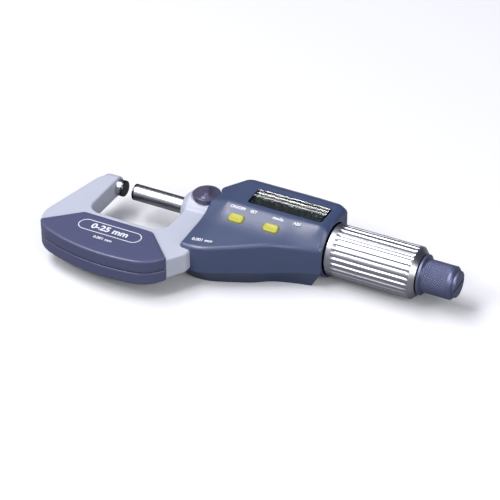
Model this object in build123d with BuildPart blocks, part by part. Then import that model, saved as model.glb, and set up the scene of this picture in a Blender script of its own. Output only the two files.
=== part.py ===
from build123d import *
from math import atan2, cos, radians, sin, tan
import os

os.makedirs("parts", exist_ok=True)

# A digital outside micrometer, 0 to 25 mm, lying on the back of its housing.
# Millimetres. X runs along the spindle from the anvil to the ratchet, Y towards the open side
# of the throat, Z up out of the display. The origin is the centre of the anvil's measuring face.

# Clearances shared by mating pieces
running_clearance = 0.05
seat_clearance = 0.05
free_clearance = 0.35

# Edges and corners are picked by their place to within this
pick_band = 0.5

# Measuring line
spindle_radius = 3.25
rest_opening = 4.2
measuring_range = 25.0
closing_travel = rest_opening
opening_travel = measuring_range - rest_opening
tip_length = 1.0
tip_chamfer = 0.25

# Frame casting
frame_thickness = 8.4
frame_edge_round = 0.7
anvil_reach = 3.2
throat_length = 33.2
throat_depth = 24.1
throat_corner = 6.0
arm_tip_radius = 4.2
arm_tip_x = -10.2
arm_tip_round = 2.4
heel = (-16.6, -28.5)
sole_left = (-8.0, -44.3)
sole_right = (30.5, -47.6)
toe_start = (38.6, -42.3)
shank_x = 44.8

# Spindle boss on the frame and the bar that carries the sleeve inside the housing
boss_radius = 8.2
boss_nose_radius = 5.4
boss_nose_x = 26.9
boss_shoulder_x = 30.0
boss_flat_z = 7.0
carrier_radius = 11.0
carrier_half_height = 6.6
carrier_end_x = 84.4
encoder_room_radius = 8.8
encoder_room_start_x = 46.0
encoder_room_end_x = 55.4

# Anvil
anvil_shank_radius = 2.5
anvil_shank_length = 6.0

# Spindle seal in the boss
seal_outer_radius = 4.6
seal_length = 2.0

# Spindle lock
lock_x = 36.0
lock_knob_radius = 5.5
lock_grip_turn = 26.0
lock_base_height = 2.0
lock_grip_height = 1.6
lock_grip_width = 3.0
lock_grip_top_width = 1.5
lock_stud_radius = 1.8
lock_pad_height = 1.0

# Heat-insulating plates on both faces of the frame
plate_face = 1.1
plate_wall = 1.0
plate_split = 0.1
plate_edge_chamfer = 0.35
plate_heel = (-18.0, -41.6)
plate_apex = (-2.2, -27.1)
plate_shoulder = (27.6, -27.3)
plate_toe = (44.0, -44.1)
plate_corner_round = 2.0
plate_reach = 30.0
plate_screw_x = (3.0, 24.0)
plate_screw_y = -37.0
plate_screw_radius = 1.0
plate_screw_head_radius = 1.9
plate_screw_head_height = 1.1
plate_screw_slot = 0.4
plate_boss_radius = 2.2
plate_boss_height = 2.6

# Housing covers
cover_left_x = 40.0
cover_right_x = 89.4
cover_wall = 1.6
parting_z = -4.8
display_z = 12.4
back_z = -12.4
roof_ridge_x = 48.0
roof_flat_end_x = 73.0
cover_tip_y = -30.0
cover_low = (49.2, -30.3)
cover_flank = (57.5, -26.8)
cover_waist = (66.0, -22.4)
cover_nose_y = -11.4
rim_start_heading = (1, -0.25)
rim_end_heading = (1, 0.25)
cover_back_right_y = 12.8
cover_back_right_x = 76.0
cover_back_y = 15.5
cover_back_left_x = 48.5
cover_back_tip_y = 7.4
cover_corner_round = 2.5
cavity_left_x = encoder_room_start_x
cavity_right_x = 84.6
tray_shrink = (0.9, 0.78)
tray_centre = (46.0, -3.0)
roof_edge_round = 1.2
plateau_round = 0.6
collar_radius = 11.2

# Roof section of the front cover: height against depth, from the back edge to the front edge
roof_far_y = 20.0
roof_near_y = -36.0
roof_base_z = -25.0
roof_slope_x = 86.4
display_back_y = 11.0
display_front_y = -5.5
facet_foot = (-14.0, 8.85)
roof_back_z = 7.0
roof_near_z = 5.45
left_top = (5.0, 9.9)
left_front = (-4.5, 9.9)
left_foot = (-10.5, 6.5)
left_back_z = -6.0
left_near_z = 5.3
right_foot = (-10.5, 6.8)
right_near_z = -9.0
end_back_z = 4.5
end_top_z = 11.0
end_back_y = 10.5
end_front_y = -5.0
end_foot = (-9.8, 6.4)
end_near_z = -11.0

# Display
window_x = 70.1
window_y = 2.0
window_length = 30.4
window_width = 9.8
window_corner = 1.0
window_thickness = 1.0
window_ledge = 0.8
lcd_length = 28.0
lcd_width = 10.6
lcd_thickness = 1.5
lcd_x = 70.0
lcd_gap = 0.1
board_left_x = 56.5
board_right_x = 84.0
board_front_y = -6.6
board_back_y = 11.6
board_thickness = 0.8
board_gap = 0.2
zebra_width = 1.2
holder_wall = 1.0

# Keys
key_xs = (54.5, 68.9)
key_y = -11.6
key_length = 6.0
key_width = 3.7
key_corner = 1.3
key_proud = 0.8
key_crown_round = 0.5
key_gap = 0.15
key_flange_depth = 1.7
key_flange = 0.5
key_flange_reach = 0.5
dome_height = 0.35
dome_radius = 1.8
dome_top_radius = 1.1
key_board_depth = 3.0
key_board_length = 24.0
key_board_width = 5.6
key_board_thickness = 0.6

# Encoder
stator_radius = 8.6
stator_hole_radius = 5.2
stator_thickness = 1.2
stator_gap = 0.2
encoder_gap = 0.6
rotor_radius = 7.8
rotor_thickness = 1.0
rotor_hub_radius = 4.8
rotor_hub_end_x = 54.8
rotor_key_x = 53.6
rotor_key_radius = 0.5
rotor_key_depth = 0.6
keyway_slack = 2.0

# Sleeve and thread
sleeve_press_radius = 5.6
sleeve_guide_end_x = 71.5
sleeve_relief_radius = 4.2
sleeve_radius = 8.2
nut_start_x = 98.0
sleeve_neck_x = 107.0
sleeve_end_x = 114.0
sleeve_neck_radius = 6.6
sleeve_slit = 0.8
sleeve_slits = 3
thread_radius = 3.75
thread_run_out = 0.5
adjusting_nut_radius = 8.0
adjusting_nut_length = 5.0
adjusting_nut_flat = 7.4

# Thimble
thimble_left_x = 89.7
thimble_length = 35.8
thimble_radius = 10.0
thimble_bore_radius = 8.7
thimble_back_wall = 6.0
thimble_rim = 2.6
thimble_ring = 1.9
thimble_end_radius = 8.0
thimble_rim_chamfer = 0.5
flute_count = 28
flute_radius = 0.78
flute_depth = 0.42
taper_wide_radius = 3.6
taper_thin_radius = 2.7

# Ratchet stop
flange_gap = 0.4
flange_radius = 7.8
flange_thickness = 1.0
knob_radius = 6.4
knob_length = 12.1
knob_bore_radius = 4.9
knob_floor = 1.8
knob_end_chamfer = 0.9
core_radius = 3.0
core_disc_radius = 4.2
core_disc_thickness = 1.4
core_length = 9.6
core_screw_radius = 1.5
core_screw_length = 5.0
washer_radius = 6.0
spring_wire_radius = 0.25
spring_radius = 3.6
spring_turns = 4
cap_spigot = 1.2
cap_length = 1.3
cap_radius = 5.1
cap_crown_round = 0.5
cap_slot_width = 0.8
cap_slot_depth = 0.5

# Battery compartment
battery_x = 64.0
battery_y = -2.5
battery_radius = 10.0
battery_thickness = 3.2
battery_top_z = -7.7
battery_cap_radius = 11.6
battery_cap_thickness = 1.4
battery_cap_ring_radius = 0.35
battery_cap_turn = 45.0
coin_slot_length = 14.0
coin_slot_width = 1.8
coin_slot_depth = 0.8
bayonet_bore = 10.4
bayonet_reach = 12.4
bayonet_height = 0.8
bayonet_width = 6.0
bayonet_play = 0.2
well_wall = 1.0
well_top_z = -8.0
contact_thickness = 0.25
contact_width = 2.4
contact_spread = 12.0
contact_upright_y = 11.3
contact_lip = 1.4
contact_leg = 2.0

# Rear cover screws
cover_screw_radius = 0.9
cover_screw_head_radius = 1.7
cover_screw_head_height = 1.0
cover_screw_slot = 0.5
cover_screw_seat_z = -8.6
cover_post_radius = 2.6
front_screw = (51.0, -21.0)
front_screw_top = 2.0
front_post_top = 6.2
bearing_screw = (50.5, 8.4)
bearing_screw_top = -4.9
sleeve_screws = ((80.5, -7.0), (80.5, 7.0))
sleeve_screw_top = -1.5

upwards = (Align.CENTER, Align.CENTER, Align.MIN)


def half_section(*points):
    """A closed profile for turning about X: each point is a place along X and a radius."""
    with BuildSketch() as section:
        with BuildLine():
            Polyline(*points, close=True)
        make_face()
    return section.sketch


def frame_outline(inset=0.0):
    """The outer silhouette of the U, with its throat still closed, drawn smaller by inset."""
    with BuildSketch() as outline:
        with BuildLine():
            lean = (heel[0] - arm_tip_x) / heel[1]
            arm_start = (arm_tip_x - lean * arm_tip_round, -arm_tip_round)
            arm_edge = Line(arm_start, heel)
            heel_arc = TangentArc(heel, sole_left, tangent=arm_edge % 1)
            sole_arc = TangentArc(sole_left, sole_right, tangent=heel_arc % 1)
            toe_arc = TangentArc(sole_right, toe_start, tangent=sole_arc % 1)
            heading = toe_arc % 1
            toe_length = (shank_x - toe_start[0]) / heading.X
            toe_edge = PolarLine(toe_start, toe_length, direction=heading)
            Polyline(toe_edge @ 1, (shank_x, 0), (-anvil_reach, 0), (arm_tip_x + arm_tip_round, 0),
                     arm_start)
        make_face()
        if inset:
            offset(amount=-inset)
    return outline.sketch


def plate_field():
    """The part of the XY plane that an insulating plate covers, left open beyond the sole."""
    with BuildSketch() as field:
        with BuildLine():
            Polyline(
                (plate_heel[0], plate_heel[1] - plate_reach),
                plate_heel,
                plate_apex,
                plate_shoulder,
                plate_toe,
                (plate_toe[0], plate_toe[1] - plate_reach),
                close=True,
            )
        make_face()
        corners = field.vertices().filter_by_position(
            Axis.Y, plate_apex[1] - pick_band, plate_apex[1] + pick_band
        )
        fillet(corners, plate_corner_round)
    return field.sketch


def housing_plan(inset=0.0):
    """The outline of the housing seen from above, drawn smaller by inset."""
    with BuildSketch() as plan:
        with BuildLine():
            rim_points = (
                (cover_left_x, cover_tip_y),
                cover_low,
                cover_flank,
                cover_waist,
                (cover_right_x, cover_nose_y),
            )
            rim = Spline(*rim_points, tangents=(rim_start_heading, rim_end_heading),
                         mode=Mode.PRIVATE)
            inner_points = []
            for point in rim_points:
                heading = rim.tangent_at(rim.param_at_point(point))
                inner_points.append(Vector(*point) + Vector(-heading.Y, heading.X) * inset)
            Spline(*inner_points, tangents=(rim % 0, rim % 1))
            Polyline(
                inner_points[-1],
                (cover_right_x - inset, cover_back_right_y - inset),
                (cover_back_right_x, cover_back_y - inset),
                (cover_back_left_x, cover_back_y - inset),
                (cover_left_x + inset, cover_back_tip_y - inset),
                inner_points[0],
            )
        make_face()
        corners = plan.vertices().filter_by_position(
            Axis.Y, cover_back_tip_y - inset - pick_band, cover_back_y + pick_band
        )
        fillet(corners, cover_corner_round)
    return plan.sketch


def roof_section(x, points, drop=0.0):
    """One cross section of the housing's roof at a place along X, lowered by drop."""
    with BuildSketch(Plane.YZ.offset(x)) as section:
        with BuildLine():
            roof = [(y, z - drop) for y, z in points]
            floor = [(roof_near_y, roof_base_z), (roof_far_y, roof_base_z)]
            Polyline(*roof, *floor, close=True)
        make_face()
    return section.sketch


def roof_sections(drop=0.0):
    """The five cross sections between which the housing's roof is drawn."""
    left = [(roof_far_y, left_back_z), left_top, left_front, left_foot, (roof_near_y, left_near_z)]
    ridge = [
        (roof_far_y, roof_back_z),
        (display_back_y, display_z),
        (display_front_y, display_z),
        facet_foot,
        (roof_near_y, roof_near_z),
    ]
    right = ridge[:3] + [right_foot, (roof_near_y, right_near_z)]
    end = [
        (roof_far_y, end_back_z),
        (end_back_y, end_top_z),
        (end_front_y, end_top_z),
        end_foot,
        (roof_near_y, end_near_z),
    ]
    return [
        roof_section(cover_left_x, left, drop),
        roof_section(roof_ridge_x, ridge, drop),
        roof_section(roof_flat_end_x, ridge, drop),
        roof_section(roof_slope_x, right, drop),
        roof_section(cover_right_x, end, drop),
    ]


def facet_height(y):
    """Height of the sloping key panel at a place in front of the display."""
    run = (display_front_y - y) / (display_front_y - facet_foot[0])
    return display_z - run * (display_z - facet_foot[1])


facet_slope = atan2(display_z - facet_foot[1], display_front_y - facet_foot[0])


def facet_plane(x, depth=0.0):
    """A plane on the key panel, its Z pointing out of the panel, sunk by depth."""
    normal = (0, -sin(facet_slope), cos(facet_slope))
    panel = Plane(origin=(x, key_y, facet_height(key_y)), x_dir=(1, 0, 0), z_dir=normal)
    return panel.offset(-depth)


# Frame: one casting with the two arms, the spindle boss and the carrier for the sleeve
frame_face_z = frame_thickness / 2
outline = frame_outline()
recessed_outline = frame_outline(plate_wall + seat_clearance)
field = plate_field()
throat_centre_x = -anvil_reach + throat_length / 2

with BuildPart() as frame:
    with BuildSketch(Plane.XY.offset(-frame_face_z)):
        add(outline)
        add(field, mode=Mode.SUBTRACT)
        with BuildSketch(mode=Mode.ADD):
            add(recessed_outline)
            add(field, mode=Mode.INTERSECT)
        with Locations((throat_centre_x, 0)):
            Rectangle(throat_length, 2 * throat_depth, mode=Mode.SUBTRACT)
    extrude(amount=frame_thickness)
    floor_corners = frame.edges().filter_by(Axis.Z).filter_by_position(
        Axis.Y, -throat_depth - pick_band, -throat_depth + pick_band
    )
    fillet(floor_corners, throat_corner)
    face_rims = frame.faces().filter_by(Axis.Z).edges()
    free_rims = face_rims.filter_by_position(Axis.Y, -throat_depth - pick_band, -arm_tip_round)
    fillet(free_rims, frame_edge_round)
    # The left arm ends in a full round about the measuring line, its end rounded over
    with BuildSketch():
        with BuildLine():
            tip_end = Line((arm_tip_x, 0), (arm_tip_x, arm_tip_radius - arm_tip_round))
            tip_arc = RadiusArc(tip_end @ 1, (arm_tip_x + arm_tip_round, arm_tip_radius),
                                arm_tip_round)
            Polyline(tip_arc @ 1, (-anvil_reach, arm_tip_radius), (-anvil_reach, 0), tip_end @ 0)
        make_face()
    revolve(axis=Axis.X)
    # The spindle boss
    add(half_section((boss_nose_x, 0), (boss_nose_x, boss_nose_radius),
                     (boss_shoulder_x, boss_radius), (shank_x, boss_radius), (shank_x, 0)))
    revolve(axis=Axis.X)
    # The carrier bar behind the boss, flat above and below
    with BuildSketch(Plane.YZ.offset(shank_x)):
        Circle(carrier_radius)
        Rectangle(2 * carrier_radius, 2 * carrier_half_height, mode=Mode.INTERSECT)
    extrude(amount=carrier_end_x - shank_x)
    # A flat on the boss for the lock knob
    with Locations((lock_x, 0, boss_flat_z)):
        Cylinder(lock_knob_radius + free_clearance, boss_radius, mode=Mode.SUBTRACT,
                 align=upwards)
    # Bores along the measuring line
    with BuildSketch(Plane.YZ.offset(-anvil_reach)):
        Circle(anvil_shank_radius)
    extrude(amount=-anvil_shank_length, mode=Mode.SUBTRACT)
    with BuildSketch(Plane.YZ.offset(boss_nose_x)):
        Circle(spindle_radius + running_clearance)
    extrude(amount=encoder_room_end_x - boss_nose_x, mode=Mode.SUBTRACT)
    with BuildSketch(Plane.YZ.offset(boss_nose_x)):
        Circle(seal_outer_radius)
    extrude(amount=seal_length, mode=Mode.SUBTRACT)
    with BuildSketch(Plane.YZ.offset(encoder_room_start_x)):
        Circle(encoder_room_radius)
    extrude(amount=encoder_room_end_x - encoder_room_start_x, mode=Mode.SUBTRACT)
    with BuildSketch(Plane.YZ.offset(encoder_room_end_x)):
        Circle(sleeve_press_radius)
    extrude(amount=carrier_end_x - encoder_room_end_x, mode=Mode.SUBTRACT)
    # The lock stud's hole, from the boss flat to the spindle
    with Locations((lock_x, 0, boss_flat_z)):
        Hole(lock_stud_radius + running_clearance, depth=boss_flat_z)
    # Holes for the plate bosses and for the rear cover's screws
    with Locations(*[(x, plate_screw_y, frame_face_z) for x in plate_screw_x]):
        Hole(plate_boss_radius + seat_clearance, depth=frame_thickness)
    with Locations(*[(x, y, -carrier_half_height) for x, y in sleeve_screws]):
        Hole(cover_screw_radius + seat_clearance, depth=sleeve_screw_top + carrier_half_height)
    with Locations((*bearing_screw, -carrier_half_height)):
        Hole(cover_screw_radius + seat_clearance, depth=bearing_screw_top + carrier_half_height)
frame.part.label = "frame"
export_step(frame.part, "parts/frame.step")

# Insulating plates: a thin face with a wall that wraps the outer edge down to the middle
plate_top_z = frame_face_z + plate_face

with BuildPart() as front_insulating_plate:
    with BuildSketch(Plane.XY.offset(frame_face_z)):
        add(outline)
        add(field, mode=Mode.INTERSECT)
    extrude(amount=plate_face)
    chamfer(front_insulating_plate.faces().sort_by(Axis.Z)[-1].edges(), plate_edge_chamfer)
    with BuildSketch(Plane.XY.offset(plate_split / 2)):
        add(outline)
        add(field, mode=Mode.INTERSECT)
        with BuildSketch(mode=Mode.SUBTRACT):
            add(frame_outline(plate_wall))
    extrude(amount=frame_face_z - plate_split / 2)
    with Locations(*[(x, plate_screw_y, frame_face_z - plate_boss_height) for x in plate_screw_x]):
        Cylinder(plate_boss_radius, plate_boss_height,
                 align=upwards)
        Cylinder(plate_screw_radius, plate_boss_height, mode=Mode.SUBTRACT,
                 align=upwards)
front_insulating_plate.part.label = "front_insulating_plate"
export_step(front_insulating_plate.part, "parts/front_insulating_plate.step")

with BuildPart() as rear_insulating_plate:
    with BuildSketch(Plane.XY.offset(-plate_top_z)):
        add(outline)
        add(field, mode=Mode.INTERSECT)
    extrude(amount=plate_face)
    chamfer(rear_insulating_plate.faces().sort_by(Axis.Z)[0].edges(), plate_edge_chamfer)
    with BuildSketch(Plane.XY.offset(-frame_face_z)):
        add(outline)
        add(field, mode=Mode.INTERSECT)
        with BuildSketch(mode=Mode.SUBTRACT):
            add(frame_outline(plate_wall))
    extrude(amount=frame_face_z - plate_split / 2)
    with Locations(*[(x, plate_screw_y, -frame_face_z) for x in plate_screw_x]):
        Cylinder(plate_boss_radius, plate_boss_height,
                 align=upwards)
    with Locations(*[(x, plate_screw_y, -plate_top_z) for x in plate_screw_x]):
        Cylinder(plate_screw_head_radius, plate_screw_head_height + seat_clearance,
                 mode=Mode.SUBTRACT, align=upwards)
        Cylinder(plate_screw_radius + running_clearance, plate_top_z, mode=Mode.SUBTRACT,
                 align=upwards)
rear_insulating_plate.part.label = "rear_insulating_plate"
export_step(rear_insulating_plate.part, "parts/rear_insulating_plate.step")

plate_screw_length = plate_top_z + frame_face_z - seat_clearance
with BuildPart() as plate_screws:
    with Locations(*[(x, plate_screw_y, -plate_top_z) for x in plate_screw_x]):
        Cylinder(plate_screw_head_radius - seat_clearance, plate_screw_head_height,
                 align=upwards)
        Cylinder(plate_screw_radius, plate_screw_length,
                 align=upwards)
        Box(2 * plate_screw_head_radius, plate_screw_slot, plate_screw_head_height,
            mode=Mode.SUBTRACT)
plate_screws.part.label = "plate_screws"
export_step(plate_screws.part, "parts/plate_screws.step")

# Anvil: a pressed-in shank, a head of the spindle's diameter and a hard-metal tip
with BuildPart() as anvil:
    add(half_section((-anvil_reach - anvil_shank_length, 0),
                     (-anvil_reach - anvil_shank_length, anvil_shank_radius),
                     (-anvil_reach, anvil_shank_radius), (-anvil_reach, spindle_radius),
                     (-tip_length, spindle_radius), (-tip_length, 0)))
    revolve(axis=Axis.X)
anvil.part.label = "anvil"
export_step(anvil.part, "parts/anvil.step")

with BuildPart() as anvil_tip:
    add(half_section((-tip_length, 0), (-tip_length, spindle_radius),
                     (-tip_chamfer, spindle_radius), (0, spindle_radius - tip_chamfer), (0, 0)))
    revolve(axis=Axis.X)
anvil_tip.part.label = "anvil_tip"
export_step(anvil_tip.part, "parts/anvil_tip.step")

# Spindle: ground shaft, keyway, thread and the taper that carries the thimble
spindle_face_x = rest_opening
spindle_shaft_x = spindle_face_x + tip_length
thread_start_x = nut_start_x - opening_travel - thread_run_out
thimble_end_x = thimble_left_x + thimble_length
back_wall_x = thimble_end_x - thimble_back_wall
taper_start_x = back_wall_x - closing_travel / 2 + thread_run_out / 2
taper_end_x = thimble_end_x - core_disc_thickness
keyway_start_x = rotor_key_x - opening_travel - keyway_slack
keyway_end_x = rotor_key_x + closing_travel + keyway_slack

with BuildPart() as spindle:
    add(half_section((spindle_shaft_x, 0), (spindle_shaft_x, spindle_radius),
                     (thread_start_x, spindle_radius),
                     (thread_start_x + thread_run_out, thread_radius),
                     (taper_start_x, thread_radius), (taper_start_x, taper_wide_radius),
                     (taper_end_x, taper_thin_radius), (taper_end_x, 0)))
    revolve(axis=Axis.X)
    with BuildSketch(Plane.XY.offset(spindle_radius - rotor_key_depth)):
        with Locations(((keyway_start_x + keyway_end_x) / 2, 0)):
            Rectangle(keyway_end_x - keyway_start_x, 2 * (rotor_key_radius + running_clearance))
    extrude(amount=rotor_key_depth, mode=Mode.SUBTRACT)
    with BuildSketch(Plane.YZ.offset(taper_end_x)):
        Circle(core_screw_radius + seat_clearance)
    extrude(amount=-core_screw_length - seat_clearance, mode=Mode.SUBTRACT)
spindle.part.label = "spindle"
export_step(spindle.part, "parts/spindle.step")

with BuildPart() as spindle_tip:
    add(half_section((spindle_face_x, 0), (spindle_face_x, spindle_radius - tip_chamfer),
                     (spindle_face_x + tip_chamfer, spindle_radius),
                     (spindle_shaft_x, spindle_radius), (spindle_shaft_x, 0)))
    revolve(axis=Axis.X)
spindle_tip.part.label = "spindle_tip"
export_step(spindle_tip.part, "parts/spindle_tip.step")

with BuildPart() as spindle_seal:
    add(half_section((boss_nose_x, spindle_radius + running_clearance),
                     (boss_nose_x, seal_outer_radius),
                     (boss_nose_x + seal_length, seal_outer_radius),
                     (boss_nose_x + seal_length, spindle_radius + running_clearance)))
    revolve(axis=Axis.X)
spindle_seal.part.label = "spindle_seal"
export_step(spindle_seal.part, "parts/spindle_seal.step")

# Spindle lock: a round knob with a raised grip, its stud and the brass pad on the spindle
pad_floor_z = spindle_radius + running_clearance
stud_floor_z = pad_floor_z + lock_pad_height + running_clearance

lock_floor = Plane.XY.offset(boss_flat_z + running_clearance)
lock_base_top = lock_floor.offset(lock_base_height)
lock_grip_top = lock_base_top.offset(lock_grip_height)
lock_centre = Location((lock_x, 0), lock_grip_turn)
with BuildPart() as lock_knob:
    with BuildSketch(lock_floor):
        with Locations((lock_x, 0)):
            Circle(lock_knob_radius)
    extrude(amount=lock_base_height)
    with BuildSketch(lock_base_top):
        with Locations(lock_centre):
            Rectangle(lock_grip_width, 2 * lock_knob_radius - lock_grip_width)
    with BuildSketch(lock_grip_top):
        with Locations(lock_centre):
            Rectangle(lock_grip_top_width, 2 * lock_knob_radius - 2 * lock_grip_width)
    loft()
    with Locations((lock_x, 0, boss_flat_z)):
        Cylinder(lock_stud_radius, lock_base_height, mode=Mode.SUBTRACT,
                 align=upwards)
lock_knob.part.label = "lock_knob"
export_step(lock_knob.part, "parts/lock_knob.step")

with BuildPart() as lock_stud:
    with Locations((lock_x, 0, stud_floor_z)):
        Cylinder(lock_stud_radius, boss_flat_z + lock_base_height - stud_floor_z,
                 align=upwards)
lock_stud.part.label = "lock_stud"
export_step(lock_stud.part, "parts/lock_stud.step")

with BuildPart() as lock_pad:
    with Locations((lock_x, 0, pad_floor_z)):
        Cylinder(lock_stud_radius, lock_pad_height,
                 align=upwards)
lock_pad.part.label = "lock_pad"
export_step(lock_pad.part, "parts/lock_pad.step")

# Sleeve: pressed into the carrier, guides the spindle and holds the nut thread
guide_radius = spindle_radius + running_clearance
nut_radius = thread_radius + running_clearance

with BuildPart() as inner_sleeve:
    add(half_section((encoder_room_end_x, guide_radius), (encoder_room_end_x, sleeve_press_radius),
                     (carrier_end_x, sleeve_press_radius), (carrier_end_x, sleeve_radius),
                     (sleeve_neck_x, sleeve_radius), (sleeve_neck_x, sleeve_neck_radius),
                     (sleeve_end_x, sleeve_neck_radius), (sleeve_end_x, nut_radius),
                     (nut_start_x, nut_radius), (nut_start_x, sleeve_relief_radius),
                     (sleeve_guide_end_x, sleeve_relief_radius),
                     (sleeve_guide_end_x, guide_radius)))
    revolve(axis=Axis.X)
    with BuildSketch(Plane.YZ.offset(sleeve_neck_x)):
        with PolarLocations(sleeve_neck_radius, sleeve_slits):
            Rectangle(sleeve_neck_radius, sleeve_slit)
    extrude(amount=sleeve_end_x - sleeve_neck_x, mode=Mode.SUBTRACT)
inner_sleeve.part.label = "inner_sleeve"
export_step(inner_sleeve.part, "parts/inner_sleeve.step")

with BuildPart() as adjusting_nut:
    with BuildSketch(Plane.YZ.offset(sleeve_neck_x + seat_clearance)):
        Circle(adjusting_nut_radius)
        Rectangle(2 * adjusting_nut_radius, 2 * adjusting_nut_flat, mode=Mode.INTERSECT)
        Circle(sleeve_neck_radius, mode=Mode.SUBTRACT)
    extrude(amount=adjusting_nut_length)
adjusting_nut.part.label = "adjusting_nut"
export_step(adjusting_nut.part, "parts/adjusting_nut.step")

# Thimble: a fluted skirt over the sleeve, its back wall clamped on the spindle's taper
flute_start_x = thimble_left_x + thimble_rim
flute_end_x = thimble_end_x - thimble_ring
taper_rise = (taper_wide_radius - taper_thin_radius) / (taper_end_x - taper_start_x)
taper_at_wall = taper_wide_radius - taper_rise * (back_wall_x - taper_start_x) + seat_clearance
taper_at_end = taper_thin_radius + seat_clearance

with BuildPart() as thimble:
    add(half_section((thimble_left_x, thimble_bore_radius),
                     (thimble_left_x, thimble_radius - thimble_rim_chamfer),
                     (thimble_left_x + thimble_rim_chamfer, thimble_radius),
                     (flute_end_x, thimble_radius), (thimble_end_x, thimble_end_radius),
                     (thimble_end_x, taper_at_end), (taper_end_x, taper_at_end),
                     (back_wall_x, taper_at_wall), (back_wall_x, thimble_bore_radius)))
    revolve(axis=Axis.X)
    with BuildSketch(Plane.YZ.offset(flute_start_x)):
        with PolarLocations(thimble_radius + flute_radius - flute_depth, flute_count):
            Circle(flute_radius)
    extrude(amount=flute_end_x - flute_start_x, mode=Mode.SUBTRACT)
thimble.part.label = "thimble"
export_step(thimble.part, "parts/thimble.step")

# Ratchet stop: the core screws into the spindle, and a spring presses the knob on a washer
knob_flange_x = thimble_end_x + flange_gap
knob_body_x = knob_flange_x + flange_thickness
knob_end_x = knob_body_x + knob_length
knob_floor_x = knob_flange_x + knob_floor
core_end_x = thimble_end_x + core_length
core_disc_x = core_end_x - core_disc_thickness
knob_hole_radius = core_radius + running_clearance

with BuildPart() as ratchet_core:
    add(half_section((taper_end_x - core_screw_length, 0),
                     (taper_end_x - core_screw_length, core_screw_radius),
                     (taper_end_x, core_screw_radius), (taper_end_x, taper_thin_radius),
                     (thimble_end_x, taper_thin_radius), (thimble_end_x, core_radius),
                     (core_disc_x, core_radius), (core_disc_x, core_disc_radius),
                     (core_end_x, core_disc_radius), (core_end_x, 0)))
    revolve(axis=Axis.X)
ratchet_core.part.label = "ratchet_core"
export_step(ratchet_core.part, "parts/ratchet_core.step")

with BuildPart() as ratchet_knob:
    add(half_section((knob_flange_x, knob_hole_radius), (knob_flange_x, flange_radius),
                     (knob_body_x, flange_radius), (knob_body_x, knob_radius),
                     (knob_end_x - knob_end_chamfer, knob_radius),
                     (knob_end_x, knob_radius - knob_end_chamfer), (knob_end_x, knob_bore_radius),
                     (knob_floor_x, knob_bore_radius), (knob_floor_x, knob_hole_radius)))
    revolve(axis=Axis.X)
ratchet_knob.part.label = "ratchet_knob"
export_step(ratchet_knob.part, "parts/ratchet_knob.step")

with BuildPart() as friction_washer:
    with BuildSketch(Plane.YZ.offset(thimble_end_x + running_clearance)):
        Circle(washer_radius)
        Circle(knob_hole_radius, mode=Mode.SUBTRACT)
    extrude(amount=flange_gap - 2 * running_clearance)
friction_washer.part.label = "friction_washer"
export_step(friction_washer.part, "parts/friction_washer.step")

spring_start_x = knob_floor_x + spring_wire_radius + running_clearance
spring_length = core_disc_x - running_clearance - spring_wire_radius - spring_start_x
with BuildPart() as friction_spring:
    with BuildLine():
        spring_line = Helix(spring_length / spring_turns, spring_length, spring_radius,
                            center=(spring_start_x, 0, 0), direction=(1, 0, 0))
    with BuildSketch(Plane(origin=spring_line @ 0, z_dir=spring_line % 0)):
        Circle(spring_wire_radius)
    sweep(path=spring_line)
friction_spring.part.label = "friction_spring"
export_step(friction_spring.part, "parts/friction_spring.step")

with BuildPart() as ratchet_end_cap:
    with BuildSketch(Plane.YZ.offset(knob_end_x - cap_spigot)):
        Circle(knob_bore_radius)
    extrude(amount=cap_spigot)
    with BuildSketch(Plane.YZ.offset(knob_end_x)):
        Circle(cap_radius)
    extrude(amount=cap_length)
    crown = ratchet_end_cap.faces().sort_by(Axis.X)[-1]
    fillet(crown.edges(), cap_crown_round)
    with BuildSketch(Plane.YZ.offset(knob_end_x + cap_length)):
        Rectangle(2 * cap_radius, cap_slot_width)
    extrude(amount=-cap_slot_depth, mode=Mode.SUBTRACT)
ratchet_end_cap.part.label = "ratchet_end_cap"
export_step(ratchet_end_cap.part, "parts/ratchet_end_cap.step")

# The space that the frame and the thimble take up inside both covers
carrier_room = carrier_radius + seat_clearance
thimble_room = thimble_radius + free_clearance
with BuildPart() as frame_space:
    with Locations((shank_x + seat_clearance, 0, 0)):
        Box(shank_x, -2 * roof_near_y, frame_thickness + 2 * seat_clearance,
            align=(Align.MAX, Align.CENTER, Align.CENTER))
    with BuildSketch(Plane.YZ.offset(boss_shoulder_x)):
        Circle(boss_radius + seat_clearance)
    extrude(amount=shank_x + seat_clearance - boss_shoulder_x)
    with BuildSketch(Plane.YZ.offset(shank_x - seat_clearance)):
        Circle(carrier_room)
        Rectangle(2 * carrier_room, 2 * (carrier_half_height + seat_clearance),
                  mode=Mode.INTERSECT)
    extrude(amount=cavity_right_x + 2 * seat_clearance - shank_x)
    with BuildSketch(Plane.YZ.offset(carrier_end_x - seat_clearance)):
        Circle(thimble_room)
    extrude(amount=thimble_left_x - carrier_end_x)
    with Locations((lock_x, 0, boss_flat_z)):
        Cylinder(lock_knob_radius + free_clearance, boss_radius,
                 align=upwards)

# Front cover: a hollow moulding with the display plateau and the sloping key panel
cover_height = display_z - parting_z
roof_width = roof_far_y - roof_near_y
rim_least_length = cover_right_x - cover_back_right_x
board_z = carrier_half_height + board_gap
board_top_z = board_z + board_thickness
lcd_top_z = display_z - cover_wall - lcd_gap

with BuildPart() as roof:
    loft(sections=roof_sections(), ruled=True)

with BuildPart() as inner_roof:
    loft(sections=roof_sections(cover_wall), ruled=True)

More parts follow.
